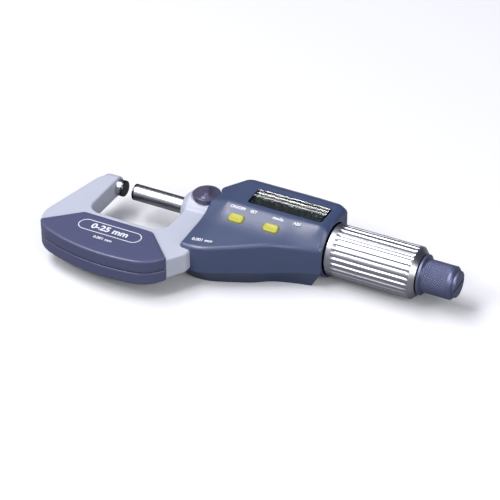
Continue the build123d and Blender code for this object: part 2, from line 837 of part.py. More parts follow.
with BuildPart() as front_cavity:
    with BuildSketch(Plane.XY.offset(parting_z)):
        add(housing_plan(cover_wall))
        with Locations((cavity_left_x, 0)):
            Rectangle(cavity_right_x - cavity_left_x, 2 * roof_width, mode=Mode.INTERSECT,
                      align=(Align.MIN, Align.CENTER))
    extrude(amount=cover_height)
    add(inner_roof.part, mode=Mode.INTERSECT)

with BuildPart() as front_cover:
    with BuildSketch(Plane.XY.offset(parting_z)):
        add(housing_plan())
    extrude(amount=cover_height)
    add(roof.part, mode=Mode.INTERSECT)
    front_side = front_cover.faces().sort_by(Axis.Y)[0]
    long_edges = front_side.edges().filter_by(lambda edge: edge.length > rim_least_length)
    fillet(long_edges.filter_by(lambda edge: edge.center().Z > 0), roof_edge_round)
    fillet(front_cover.edges().group_by(Axis.Z)[-1], plateau_round)
    add(front_cavity.part, mode=Mode.SUBTRACT)
    # Posts for the front screw and a collar round the thimble's end
    with Locations((*front_screw, parting_z)):
        Cylinder(cover_post_radius, front_post_top - parting_z,
                 align=upwards)
    with BuildSketch(Plane.YZ.offset(cavity_right_x)):
        Circle(collar_radius)
        with Locations((0, parting_z)):
            Rectangle(2 * collar_radius, 2 * collar_radius, mode=Mode.INTERSECT,
                      align=(Align.CENTER, Align.MIN))
    extrude(amount=cover_right_x - cavity_right_x)
    add(frame_space.part, mode=Mode.SUBTRACT)
    with Locations((*front_screw, parting_z)):
        Hole(cover_screw_radius + seat_clearance, depth=front_screw_top - parting_z)
    # The window's recess, with a ledge that it rests on
    with BuildSketch(Plane.XY.offset(display_z)):
        with Locations((window_x, window_y)):
            RectangleRounded(window_length, window_width, window_corner)
    extrude(amount=-window_thickness, mode=Mode.SUBTRACT)
    with BuildSketch(Plane.XY.offset(display_z)):
        with Locations((window_x, window_y)):
            Rectangle(window_length - 2 * window_ledge, window_width - 2 * window_ledge)
    extrude(amount=-2 * cover_wall, mode=Mode.SUBTRACT)
    # Room for the display panel and its holder
    with Locations((lcd_x, window_y, board_top_z)):
        Box(lcd_length + 2 * seat_clearance, lcd_width + 2 * seat_clearance,
            lcd_top_z + seat_clearance - board_top_z, mode=Mode.SUBTRACT, align=upwards)
    # The two key holes, square to the sloping panel
    for key_x in key_xs:
        with BuildSketch(facet_plane(key_x)):
            RectangleRounded(key_length + 2 * key_gap, key_width + 2 * key_gap,
                             key_corner + key_gap)
        extrude(amount=-2 * cover_wall, mode=Mode.SUBTRACT)
front_cover.part.label = "front_cover"
export_step(front_cover.part, "parts/front_cover.step")

# Rear cover: a tray with sloping sides, the battery well and the four screw bosses
tray_top_z = parting_z - plate_split
tray_depth = tray_top_z - back_z
floor_z = back_z + cover_wall
cap_hole_radius = battery_cap_radius + running_clearance
well_radius = bayonet_reach + free_clearance
carrier_foot_z = -carrier_half_height - seat_clearance


def tray_section(z, inset=0.0):
    """The tray's outline at a height, drawn in towards the bottom and smaller by inset."""
    share = (tray_top_z - z) / tray_depth
    scale_x = 1 - share * (1 - tray_shrink[0])
    scale_y = 1 - share * (1 - tray_shrink[1])
    drawn_in = scale(housing_plan(inset), by=(scale_x, scale_y, 1), mode=Mode.PRIVATE)
    shift = (tray_centre[0] * (1 - scale_x), tray_centre[1] * (1 - scale_y), z)
    return drawn_in.translate(shift)


with BuildPart() as rear_cavity:
    loft(sections=[tray_section(tray_top_z, cover_wall), tray_section(floor_z, cover_wall)],
         ruled=True)
    with Locations((cavity_left_x, 0, floor_z)):
        Box(cavity_right_x - cavity_left_x, 2 * roof_width, tray_depth, mode=Mode.INTERSECT,
            align=(Align.MIN, Align.CENTER, Align.MIN))

with BuildPart() as rear_cover:
    loft(sections=[tray_section(tray_top_z), tray_section(back_z)], ruled=True)
    add(rear_cavity.part, mode=Mode.SUBTRACT)
    # The half round below the thimble, which completes the collar
    with BuildSketch(Plane.YZ.offset(cavity_right_x - cover_wall)):
        Circle(collar_radius)
        with Locations((0, tray_top_z)):
            Rectangle(2 * collar_radius, 2 * collar_radius, mode=Mode.INTERSECT,
                      align=(Align.CENTER, Align.MAX))
    extrude(amount=cover_right_x - cavity_right_x + cover_wall)
    # Screw bosses
    with Locations((*front_screw, floor_z)):
        Cylinder(cover_post_radius, tray_top_z - floor_z, align=upwards)
    with Locations(*[(x, y, floor_z) for x, y in (bearing_screw, *sleeve_screws)]):
        Cylinder(cover_post_radius, carrier_foot_z - floor_z, align=upwards)
    # Battery well, its opening, and the two notches that let the cap's lugs in
    with Locations((battery_x, battery_y, floor_z)):
        Cylinder(well_radius + well_wall, well_top_z - floor_z, align=upwards)
        Cylinder(well_radius, tray_depth, mode=Mode.SUBTRACT, align=upwards)
    with BuildSketch(Plane.XY.offset(back_z)):
        with Locations((battery_x, battery_y)):
            Circle(cap_hole_radius)
        with BuildSketch(mode=Mode.ADD):
            with Locations((battery_x, battery_y)):
                Circle(bayonet_reach + bayonet_play)
            with Locations(Location((battery_x, battery_y), battery_cap_turn)):
                Rectangle(2 * (bayonet_reach + bayonet_play),
                          bayonet_width + 2 * bayonet_play, mode=Mode.INTERSECT)
    extrude(amount=cover_wall, mode=Mode.SUBTRACT)
    add(frame_space.part, mode=Mode.SUBTRACT)
    with Locations(*[(x, y, back_z) for x, y in (front_screw, bearing_screw, *sleeve_screws)]):
        CounterBoreHole(cover_screw_radius + seat_clearance,
                        cover_screw_head_radius + seat_clearance, cover_screw_seat_z - back_z,
                        depth=tray_depth)
rear_cover.part.label = "rear_cover"
export_step(rear_cover.part, "parts/rear_cover.step")

# Rear cover screws: pan heads up against their seats, a slot across each
with BuildPart() as cover_screws:
    for place, top_z in (
        (front_screw, front_screw_top),
        (bearing_screw, bearing_screw_top),
        (sleeve_screws[0], sleeve_screw_top),
        (sleeve_screws[1], sleeve_screw_top),
    ):
        with Locations((*place, cover_screw_seat_z)):
            Cylinder(cover_screw_radius, top_z - cover_screw_seat_z - running_clearance,
                     align=upwards)
        with Locations((*place, cover_screw_seat_z - cover_screw_head_height)):
            Cylinder(cover_screw_head_radius, cover_screw_head_height, align=upwards)
            Box(2 * cover_screw_head_radius, cover_screw_slot, cover_screw_slot,
                mode=Mode.SUBTRACT, align=upwards)
cover_screws.part.label = "cover_screws"
export_step(cover_screws.part, "parts/cover_screws.step")

# Display: a clear window, the liquid crystal panel, its holder, the contact strip and the board
lcd_bottom_z = lcd_top_z - lcd_thickness
holder_height = lcd_bottom_z - board_top_z

with BuildPart() as display_window:
    with BuildSketch(Plane.XY.offset(display_z - window_thickness)):
        with Locations((window_x, window_y)):
            RectangleRounded(window_length - 2 * seat_clearance, window_width - 2 * seat_clearance,
                             window_corner - seat_clearance)
    extrude(amount=window_thickness)
display_window.part.label = "display_window"
export_step(display_window.part, "parts/display_window.step")

with BuildPart() as lcd_panel:
    with Locations((lcd_x, window_y, lcd_bottom_z)):
        Box(lcd_length, lcd_width, lcd_thickness, align=upwards)
lcd_panel.part.label = "lcd_panel"
export_step(lcd_panel.part, "parts/lcd_panel.step")

with BuildPart() as lcd_holder:
    with BuildSketch(Plane.XY.offset(board_top_z)):
        with Locations((lcd_x, window_y)):
            Rectangle(lcd_length, lcd_width)
            Rectangle(lcd_length - 2 * holder_wall, lcd_width - 2 * holder_wall,
                      mode=Mode.SUBTRACT)
    extrude(amount=holder_height)
lcd_holder.part.label = "lcd_holder"
export_step(lcd_holder.part, "parts/lcd_holder.step")

zebra_y = window_y - lcd_width / 2 + holder_wall + running_clearance + zebra_width / 2
with BuildPart() as zebra_strip:
    with Locations((lcd_x, zebra_y, board_top_z)):
        Box(lcd_length - 2 * holder_wall - 2 * running_clearance, zebra_width, holder_height,
            align=upwards)
zebra_strip.part.label = "zebra_strip"
export_step(zebra_strip.part, "parts/zebra_strip.step")

with BuildPart() as circuit_board:
    with Locations((board_left_x, board_front_y, board_z)):
        Box(board_right_x - board_left_x, board_back_y - board_front_y, board_thickness,
            align=(Align.MIN, Align.MIN, Align.MIN))
circuit_board.part.label = "circuit_board"
export_step(circuit_board.part, "parts/circuit_board.step")

# Keys: rubber-tipped caps held by a flange, over snap domes on a tilted board
key_board_x = (key_xs[0] + key_xs[1]) / 2
with BuildPart() as key_board:
    with BuildSketch(facet_plane(key_board_x, key_board_depth)):
        Rectangle(key_board_length, key_board_width)
    extrude(amount=-key_board_thickness)
key_board.part.label = "key_board"
export_step(key_board.part, "parts/key_board.step")

with BuildPart() as switch_domes:
    for key_x in key_xs:
        with Locations(facet_plane(key_x, key_board_depth).location):
            Cone(dome_radius, dome_top_radius, dome_height, align=upwards)
switch_domes.part.label = "switch_domes"
export_step(switch_domes.part, "parts/switch_domes.step")


def key_solid(x):
    """One key: a crowned cap that stands out of the panel and a flange that keeps it in."""
    with BuildPart() as key:
        with BuildSketch(facet_plane(x, key_flange_depth)):
            RectangleRounded(key_length, key_width, key_corner)
        extrude(amount=key_flange_depth + key_proud)
        normal = Axis((0, 0, 0), facet_plane(x).z_dir)
        fillet(key.faces().sort_by(normal)[-1].edges(), key_crown_round)
        with BuildSketch(facet_plane(x, key_flange_depth + key_flange)):
            RectangleRounded(key_length + 2 * key_flange_reach, key_width + 2 * key_flange_reach,
                             key_corner + key_flange_reach)
        extrude(amount=key_flange)
    return key.part


with BuildPart() as left_button:
    add(key_solid(key_xs[0]))
left_button.part.label = "left_button"
export_step(left_button.part, "parts/left_button.step")

with BuildPart() as right_button:
    add(key_solid(key_xs[1]))
right_button.part.label = "right_button"
export_step(right_button.part, "parts/right_button.step")

# Rotary encoder round the spindle: a fixed plate, and a rotor that the keyway turns
with BuildPart() as encoder_stator:
    with BuildSketch(Plane.YZ.offset(encoder_room_start_x + stator_gap)):
        Circle(stator_radius)
        Circle(stator_hole_radius, mode=Mode.SUBTRACT)
    extrude(amount=stator_thickness)
encoder_stator.part.label = "encoder_stator"
export_step(encoder_stator.part, "parts/encoder_stator.step")

rotor_start_x = encoder_room_start_x + stator_gap + stator_thickness + encoder_gap
rotor_disc_end_x = rotor_start_x + rotor_thickness
with BuildPart() as encoder_rotor:
    add(half_section((rotor_start_x, guide_radius), (rotor_start_x, rotor_radius),
                     (rotor_disc_end_x, rotor_radius), (rotor_disc_end_x, rotor_hub_radius),
                     (rotor_hub_end_x, rotor_hub_radius), (rotor_hub_end_x, guide_radius)))
    revolve(axis=Axis.X)
    with Locations((rotor_key_x, 0, 0)):
        Cylinder(rotor_key_radius, rotor_radius, mode=Mode.SUBTRACT, align=upwards)
encoder_rotor.part.label = "encoder_rotor"
export_step(encoder_rotor.part, "parts/encoder_rotor.step")

key_foot_z = spindle_radius - rotor_key_depth + running_clearance
with BuildPart() as rotor_key:
    with Locations((rotor_key_x, 0, key_foot_z)):
        Cylinder(rotor_key_radius, rotor_hub_radius - running_clearance - key_foot_z,
                 align=upwards)
rotor_key.part.label = "rotor_key"
export_step(rotor_key.part, "parts/rotor_key.step")

# Battery, its two contacts, and the bayonet cap with its seal ring
with BuildPart() as battery:
    with Locations((battery_x, battery_y, battery_top_z - battery_thickness)):
        Cylinder(battery_radius, battery_thickness, align=upwards)
battery.part.label = "battery"
export_step(battery.part, "parts/battery.step")


def contact_strip(turn, *start):
    """A bent strip in an upright plane through the battery's axis, from start to the board."""
    outward = (sin(radians(turn)), cos(radians(turn)), 0)
    sideways = (cos(radians(turn)), -sin(radians(turn)), 0)
    upright = (contact_upright_y - battery_y) / cos(radians(turn))
    lip_z = board_z - contact_thickness
    with BuildPart() as strip:
        plane = Plane(origin=(battery_x, battery_y, 0), x_dir=outward, z_dir=sideways)
        with BuildSketch(plane):
            with BuildLine():
                Polyline(
                    *start,
                    (upright + contact_thickness, battery_top_z),
                    (upright + contact_thickness, board_z),
                    (upright - contact_lip, board_z),
                    (upright - contact_lip, lip_z),
                    (upright, lip_z),
                    (upright, battery_top_z + contact_thickness),
                    (start[0][0], battery_top_z + contact_thickness),
                    close=True,
                )
            make_face()
        extrude(amount=contact_width / 2, both=True)
    return strip.part


with BuildPart() as battery_spring_contact:
    add(contact_strip(-contact_spread, (0, battery_top_z)))
battery_spring_contact.part.label = "battery_spring_contact"
export_step(battery_spring_contact.part, "parts/battery_spring_contact.step")

leg_start = battery_radius + running_clearance
leg_end = leg_start + contact_thickness
with BuildPart() as battery_side_contact:
    add(contact_strip(contact_spread, (leg_start, battery_top_z - contact_leg),
                      (leg_end, battery_top_z - contact_leg), (leg_end, battery_top_z)))
battery_side_contact.part.label = "battery_side_contact"
export_step(battery_side_contact.part, "parts/battery_side_contact.step")

cap_disc_top_z = back_z + battery_cap_thickness
lug_bottom_z = floor_z + running_clearance
lug_top_z = lug_bottom_z + bayonet_height
seal_groove_radius = battery_cap_radius - battery_cap_ring_radius + running_clearance
seal_z = back_z + battery_cap_thickness / 2

with BuildPart() as battery_cap:
    with Locations((battery_x, battery_y, back_z)):
        Cylinder(battery_cap_radius, lug_top_z - back_z, align=upwards)
    with BuildSketch(Plane.XY.offset(lug_bottom_z)):
        with Locations((battery_x, battery_y)):
            Circle(bayonet_reach)
            Rectangle(2 * bayonet_reach, bayonet_width, mode=Mode.INTERSECT)
    extrude(amount=bayonet_height)
    with Locations((battery_x, battery_y, cap_disc_top_z)):
        Cylinder(bayonet_bore, battery_cap_thickness, mode=Mode.SUBTRACT, align=upwards)
    with Locations((battery_x, battery_y, seal_z)):
        Torus(seal_groove_radius, battery_cap_ring_radius + running_clearance,
              mode=Mode.SUBTRACT)
    with Locations((battery_x, battery_y, back_z)):
        Box(coin_slot_length, coin_slot_width, coin_slot_depth, mode=Mode.SUBTRACT, align=upwards)
battery_cap.part.label = "battery_cap"
export_step(battery_cap.part, "parts/battery_cap.step")

with BuildPart() as battery_cap_ring:
    with Locations((battery_x, battery_y, seal_z)):
        Torus(seal_groove_radius, battery_cap_ring_radius)
battery_cap_ring.part.label = "battery_cap_ring"
export_step(battery_cap_ring.part, "parts/battery_cap_ring.step")
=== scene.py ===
import bmesh
import bpy
import numpy as np
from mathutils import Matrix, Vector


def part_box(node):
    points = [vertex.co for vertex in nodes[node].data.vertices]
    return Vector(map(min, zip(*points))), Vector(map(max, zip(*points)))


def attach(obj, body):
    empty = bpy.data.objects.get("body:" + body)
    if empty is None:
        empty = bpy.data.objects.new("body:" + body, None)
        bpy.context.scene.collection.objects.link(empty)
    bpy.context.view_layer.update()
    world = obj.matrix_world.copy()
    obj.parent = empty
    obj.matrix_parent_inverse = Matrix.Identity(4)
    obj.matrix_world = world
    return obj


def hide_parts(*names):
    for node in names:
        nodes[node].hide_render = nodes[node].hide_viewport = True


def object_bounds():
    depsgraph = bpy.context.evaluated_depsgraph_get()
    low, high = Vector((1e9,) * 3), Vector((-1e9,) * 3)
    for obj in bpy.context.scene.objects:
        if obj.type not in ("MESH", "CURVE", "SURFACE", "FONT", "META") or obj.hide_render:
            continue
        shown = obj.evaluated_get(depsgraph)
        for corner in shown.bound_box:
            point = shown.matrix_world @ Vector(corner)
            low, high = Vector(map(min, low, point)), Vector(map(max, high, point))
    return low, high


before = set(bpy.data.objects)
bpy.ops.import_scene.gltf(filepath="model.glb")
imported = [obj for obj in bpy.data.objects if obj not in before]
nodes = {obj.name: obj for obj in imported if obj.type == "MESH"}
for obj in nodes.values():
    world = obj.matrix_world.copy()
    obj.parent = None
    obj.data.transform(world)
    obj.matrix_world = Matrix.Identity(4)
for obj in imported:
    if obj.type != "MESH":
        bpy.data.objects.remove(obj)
cad_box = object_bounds()
scene = bpy.context.scene
scene.view_settings.view_transform = "Standard"
MM = 0.001

# Camera: it stands 0.81 m away, in front of the instrument and 35 degrees above the table,
# and looks at the display housing with a long lens, as the photograph was taken.
azimuth, elevation, distance = np.radians(27.0), np.radians(34.97), 0.8103
target = np.array([62.0, -15.0, 0.0]) * MM
towards_eye = np.array([np.sin(azimuth) * np.cos(elevation), -np.cos(azimuth) * np.cos(elevation),
                        np.sin(elevation)])
rightwards = np.array([np.cos(azimuth), np.sin(azimuth), 0.0])
eye = target + distance * towards_eye


def placed(data, name, axes, place):
    """A new object whose local x, y and z axes and origin are the given vectors, in metres."""
    matrix = np.eye(4)
    matrix[:3, :3] = np.transpose(axes)
    matrix[:3, 3] = place
    thing = bpy.data.objects.new(name, data)
    thing.matrix_world = matrix.T.tolist()
    scene.collection.objects.link(thing)
    return thing


lens = bpy.data.cameras.new("camera")
lens.lens, lens.sensor_width, lens.clip_start = 156.0, 36.0, 0.01
scene.camera = placed(lens, "camera", (rightwards, np.cross(towards_eye, rightwards), towards_eye),
                      eye)


# Light: a sky that is bright over the front left and dark behind the instrument, where a case
# would stand, a long ceiling panel whose sheen lies on the sloping key panel, a small window
# that draws the lines along the rounded rims, and a fill from the front right.
def linear(code):
    """A hex sRGB colour as linear red, green, blue and alpha."""
    parts = np.array([int(code[i:i + 2], 16) for i in (1, 3, 5)]) / 255.0
    return (*np.where(parts <= 0.04045, parts / 12.92, ((parts + 0.055) / 1.055) ** 2.4), 1.0)


def add_node(tree, kind, links=(), **settings):
    """Adds a node, sets its properties or socket values by name, and links outputs into it."""
    node = tree.nodes.new(kind)
    for name, value in settings.items():
        socket = node.inputs.get(name.replace("_", " ").title())
        if socket is not None and not hasattr(type(node), name):
            socket.default_value = value
        else:
            setattr(node, name, value)
    for output, name in links:
        tree.links.new(output, node.inputs[name])
    return node


def ramp(tree, factor, low, high):
    """A colour that goes from low to high as the factor goes from 0 to 1."""
    node = add_node(tree, "ShaderNodeValToRGB", [(factor, "Fac")])
    node.color_ramp.elements[0].color = low
    node.color_ramp.elements[1].color = high
    return node.outputs["Color"]


def softbox(name, direction, away, size, power, facing=target, level=None,
            colour=(1.0, 1.0, 1.0)):
    """A rectangular lamp in a direction from a point and that far away from it, facing it, its
    long side level or as near as can be to a given direction."""
    data = bpy.data.lights.new(name, "AREA")
    data.shape, data.energy, data.color = "RECTANGLE", power, colour
    data.size, data.size_y = size
    outward = np.array(direction) / np.linalg.norm(direction)
    level = np.cross((0.0, 0.0, 1.0), outward) if level is None else np.array(level)
    level = level - outward * (level @ outward)
    level /= np.linalg.norm(level)
    return placed(data, name, (level, np.cross(outward, level), outward), facing + away * outward)


world = bpy.data.worlds.new("daylight")
scene.world = world
world.use_nodes = True
sky = world.node_tree
way = add_node(sky, "ShaderNodeTexCoord").outputs["Generated"]
towards_light = add_node(sky, "ShaderNodeVectorMath", [(way, 0)], operation="DOT_PRODUCT")
towards_light.inputs[1].default_value = (-0.35, -0.55, 0.76)
sky.links.new(ramp(sky, towards_light.outputs["Value"], linear("#44474f"), linear("#eef2ff")),
              sky.nodes["Background"].inputs["Color"])
sky.nodes["Background"].inputs["Strength"].default_value = 0.7
softbox("ceiling_panel", (-0.372, -0.17, 0.9), 1.0, (0.8, 0.35), 6.0, colour=(0.97, 0.95, 1.0))
softbox("window_light", (-0.37, -0.6, 0.7), 1.1, (0.3, 0.2), 2.2)
softbox("front_fill", (0.7, -0.48, 0.55), 1.1, (0.5, 0.4), 2.2)
softbox("right_panel", (0.93, -0.25, 0.27), 1.2, (0.6, 0.45), 3.2)

# Table: a matt white sheet. The camera sees it white and with the instrument's shadow, while
# to the instrument it is a dark grey, so the undersides of its metal parts stay dark.
floor_z = cad_box[0][2]
half = 8.0
sheet = bpy.data.meshes.new("table_sheet")
sheet.from_pydata([(-half, -half, floor_z), (half, -half, floor_z), (half, half, floor_z),
                   (-half, half, floor_z)], [], [(0, 1, 2, 3)])
floor = bpy.data.objects.new("table_sheet", sheet)
scene.collection.objects.link(floor)
paper = bpy.data.materials.new("matt_white_paper")
paper.use_nodes = True
paper_shader = paper.node_tree.nodes["Principled BSDF"]
paper_shader.inputs["Roughness"].default_value = 0.95
ray = add_node(paper.node_tree, "ShaderNodeLightPath")
white = ramp(paper.node_tree, ray.outputs["Is Camera Ray"], linear("#7c7c80"), linear("#ffffff"))
paper.node_tree.links.new(white, paper_shader.inputs["Base Color"])
sheet.materials.append(paper)


# Frame: one grey-iron casting, its edges rounded by the mould and by tumbling, sprayed with a
# pale silver-blue satin enamel. The enamel pulls round the edges and shows a fine orange peel.
def finish(name, colour, rough, metal=0.0, grain=0.5, depth=0.004, stretch=(1, 1, 1), mottle=0.05,
           rub=0.05, **sockets):
    """A surface whose colour drifts by mottle and whose roughness drifts by rub over some 9 mm,
    with a relief of grains that are grain mm wide, stretched along the axes, and depth mm deep.
    Other sockets of the shader are set as they are named."""
    material = bpy.data.materials.new(name)
    material.use_nodes = True
    tree = material.node_tree
    shader = tree.nodes["Principled BSDF"]
    shader.inputs["Metallic"].default_value = metal
    for key, value in sockets.items():
        shader.inputs[key.replace("_", " ")].default_value = value
    place = add_node(tree, "ShaderNodeTexCoord").outputs["Object"]
    drift = add_node(tree, "ShaderNodeTexNoise", [(place, "Vector")], Scale=110.0, Detail=4.0)
    base = np.array(linear(colour))
    low, high = base * (1 - mottle), np.minimum(base * (1 + mottle), 1.0)
    tint = ramp(tree, drift.outputs["Fac"], (*low[:3], 1.0), (*high[:3], 1.0))
    tree.links.new(tint, shader.inputs["Base Color"])
    shine = add_node(tree, "ShaderNodeMapRange", [(drift.outputs["Fac"], "Value")],
                     From_Min=0.3, From_Max=0.7, To_Min=rough - rub, To_Max=rough + rub)
    tree.links.new(shine.outputs["Result"], shader.inputs["Roughness"])
    scale = tuple(float(s) / (grain * MM) for s in stretch)
    turned = add_node(tree, "ShaderNodeMapping", [(place, "Vector")], Scale=scale)
    relief = add_node(tree, "ShaderNodeTexNoise", [(turned.outputs["Vector"], "Vector")],
                      Scale=1.0, Detail=3.0)
    bump = add_node(tree, "ShaderNodeBump", [(relief.outputs["Fac"], "Height")],
                    Strength=1.0, Distance=depth * MM)
    tree.links.new(bump.outputs["Normal"], shader.inputs["Normal"])
    return material


def dress(material, *names):
    """Gives CAD nodes one material."""
    for name in names:
        mesh = nodes[name].data
        mesh.materials.clear()
        mesh.materials.append(material)


def merged_copy(node, name):
    """The node's own surface with its loose triangles joined."""
    mesh = nodes[node].data.copy()
    mesh.name = name
    work = bmesh.new()
    work.from_mesh(mesh)
    bmesh.ops.remove_doubles(work, verts=work.verts, dist=1e-6)
    work.to_mesh(mesh)
    work.free()
    return mesh


def piece(name, mesh, body, material, *stands_for):
    """A new piece that rides on a body and, where named, stands for CAD nodes."""
    thing = bpy.data.objects.new(name, mesh)
    scene.collection.objects.link(thing)
    mesh.materials.clear()
    mesh.materials.append(material)
    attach(thing, body)
    if stands_for:
        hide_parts(*stands_for)
    return thing


def soften(thing, voxel, rounds):
    """Rounds every edge of a solid: it is rebuilt from small cells and smoothed a few times."""
    rebuilt = thing.modifiers.new("cells", "REMESH")
    rebuilt.mode, rebuilt.voxel_size, rebuilt.use_smooth_shade = "VOXEL", voxel * MM, True
    eased = thing.modifiers.new("ease", "SMOOTH")
    eased.factor, eased.iterations = 0.5, rounds


enamel = finish("silver_blue_satin_enamel", "#c9cddb", 0.36, grain=1.1, depth=0.012,
                mottle=0.03)
casting = piece("frame_casting", merged_copy("frame", "frame_casting"), "root", enamel, "frame")
soften(casting, 0.42, 5)
dress(enamel, "frame")

# Insulating plates: fine-grained grey-violet plastic mouldings, one on each face of the frame,
# their outer rim rounded and wrapped over the frame's edge. They keep the hand's warmth away.
plate_plastic = finish("fine_grained_grey_plastic", "#53577a", 0.4, grain=0.35, depth=0.008,
                       mottle=0.05, Coat_Weight=0.8, Coat_Roughness=0.3)
for side in ("front", "rear"):
    node = side + "_insulating_plate"
    plate = piece(side + "_plate_moulding", merged_copy(node, side + "_plate_moulding"), "root",
                  plate_plastic, node)
    soften(plate, 0.3, 14)
dress(plate_plastic, "front_insulating_plate", "rear_insulating_plate")


# Front cover: the housing's upper half, one satin slate-blue moulding of 1.6 mm wall. A display
# plateau falls to a broad sloping key panel, and all its ridges run softly into one another.
def outline_curve(points, start, end, count):
    """A smooth curve through points: cubic arcs, each with the mean direction of the chords
    beside it at its ends, and the given directions at the two ends of the whole."""
    points = np.array(points)
    chords = np.diff(points, axis=0)
    lengths = np.linalg.norm(chords, axis=1)
    way = chords / lengths[:, None]
    middle = way[:-1] * lengths[1:, None] + way[1:] * lengths[:-1, None]
    slopes = np.vstack([start, middle, end])
    slopes = slopes / np.linalg.norm(slopes, axis=1)[:, None]
    at = np.linspace(0, len(chords) - 1e-9, count)
    i = at.astype(int)
    t = (at - i)[:, None]
    size = lengths[i][:, None]
    return ((1 + 2 * t) * (1 - t) ** 2 * points[i] + t * (1 - t) ** 2 * size * slopes[i]
            + t ** 2 * (3 - 2 * t) * points[i + 1] - t ** 2 * (1 - t) * size * slopes[i + 1])


def even_loop(points, count, soft):
    """A closed outline taken at even steps, its corners rounded by averaging over soft mm."""
    points = np.vstack([points, points[:1]])
    run = np.r_[0, np.cumsum(np.linalg.norm(np.diff(points, axis=0), axis=1))]
    at = np.linspace(0, run[-1], count, endpoint=False)
    loop = np.stack([np.interp(at, run, points[:, k]) for k in (0, 1)], axis=1)
    reach = int(soft / run[-1] * count / 2)
    for _ in range(3):
        loop = np.mean([np.roll(loop, k, axis=0) for k in range(-reach, reach + 1)], axis=0)
    return loop


def outward_normals(loop):
    """Unit normals of a closed outline that runs anticlockwise."""
    along = np.roll(loop, -1, axis=0) - np.roll(loop, 1, axis=0)
    along /= np.linalg.norm(along, axis=1)[:, None]
    return np.stack([along[:, 1], -along[:, 0]], axis=1)


def roof(x, y, soft=0.0):
    """Height of the housing's top over the plan. Across each station along x the top is a bent
    line of five points, and between stations each point goes straight. With soft, the height is
    the mean over two rings of that radius and half of it, which rounds the ridges."""
    if np.any(soft):
        turns = np.linspace(0, 2 * np.pi, 12, endpoint=False)
        return np.mean([roof(x, y)] + [roof(x + share * soft * np.cos(a), y + share * soft * np.sin(a))
                                       for share in (0.5, 1.0) for a in turns], axis=0)
    stations = (40.0, 48.0, 73.0, 86.4, 89.4)
    across = np.array([
        [(20.0, -6.0), (5.0, 9.9), (-4.5, 9.9), (-10.5, 6.5), (-36.0, 5.3)],
        [(20.0, 7.0), (11.0, 12.4), (-5.5, 12.4), (-14.0, 8.85), (-36.0, 5.45)],
        [(20.0, 7.0), (11.0, 12.4), (-5.5, 12.4), (-14.0, 8.85), (-36.0, 5.45)],
        [(20.0, 7.0), (11.0, 12.4), (-5.5, 12.4), (-10.5, 6.8), (-36.0, -9.0)],
        [(20.0, 4.5), (10.5, 11.0), (-5.0, 11.0), (-9.8, 6.4), (-36.0, -11.0)]])
    bends = [[np.interp(x, stations, across[:, k, axis]) for axis in (0, 1)] for k in range(5)]
    height = bends[0][1]
    for (y0, z0), (y1, z1) in zip(bends, bends[1:]):
        height = height + (z1 - z0) * np.clip((y0 - y) / (y0 - y1), 0, 1)
    return height


def easing(y):
    """How far the ridges are rounded: tightly round the display and broadly near the rim."""
    return 1.1 + 2.9 * np.clip((-6.6 - y) / 4.5, 0, 1)


def surface(name, points, wrap=False, fans=()):
    """A smooth mesh over a grid of points in mm, rows by columns. With wrap the columns close on
    themselves, and a fan closes the first (0) or the last (-1) row on its own middle."""
    rows, columns = points.shape[:2]
    index = np.arange(rows * columns).reshape(rows, columns)
    if wrap:
        index = np.hstack([index, index[:, :1]])
    quads = np.stack([index[:-1, :-1], index[:-1, 1:], index[1:, 1:], index[1:, :-1]], axis=-1)
    vertices = points.reshape(-1, 3)
    faces = quads.reshape(-1, 4).tolist()
    for row in fans:
        edge = index[row]
        faces += [(a, b, len(vertices)) for a, b in zip(edge, edge[1:])]
        vertices = np.vstack([vertices, points[row].mean(axis=0)])
    mesh = bpy.data.meshes.new(name)
    mesh.from_pydata((vertices * MM).tolist(), [], faces)
    work = bmesh.new()
    work.from_mesh(mesh)
    bmesh.ops.remove_doubles(work, verts=work.verts, dist=1e-7)
    bmesh.ops.recalc_face_normals(work, faces=work.faces)
    work.to_mesh(mesh)
    work.free()
    mesh.shade_smooth()
    return mesh


def block(outline, low, high, x_axis=(1, 0, 0), z_axis=(0, 0, 1), origin=(0, 0, 0), flare=0.0):
    """A closed prism over an outline in its own plane, from low to high along the z axis, its
    top grown by flare. All in mm."""
    x_axis, z_axis = np.array(x_axis, float), np.array(z_axis, float)
    axes = np.array([x_axis, np.cross(z_axis, x_axis), z_axis])
    grown = outline + flare * outward_normals(outline)
    rows = [np.c_[ring, np.full(len(ring), z)] for ring, z in ((outline, low), (grown, high))]
    return surface("block", np.array(rows) @ axes + origin, wrap=True, fans=(0, -1))


def rounded_rectangle(length, width, radius, count=12):
    """An anticlockwise outline about the origin: four quarter circles joined by straights."""
    quarter = np.linspace(0, np.pi / 2, count)
    corners = []
    for k, (sx, sy) in enumerate(((1, 1), (-1, 1), (-1, -1), (1, -1))):
        turn = quarter + k * np.pi / 2
        corners.append(np.c_[sx * (length / 2 - radius) + radius * np.cos(turn),
                             sy * (width / 2 - radius) + radius * np.sin(turn)])
    return np.vstack(corners)


def circle(radius, count=96):
    """An anticlockwise circle about the origin."""
    turn = np.linspace(0, 2 * np.pi, count, endpoint=False)
    return radius * np.c_[np.cos(turn), np.sin(turn)]


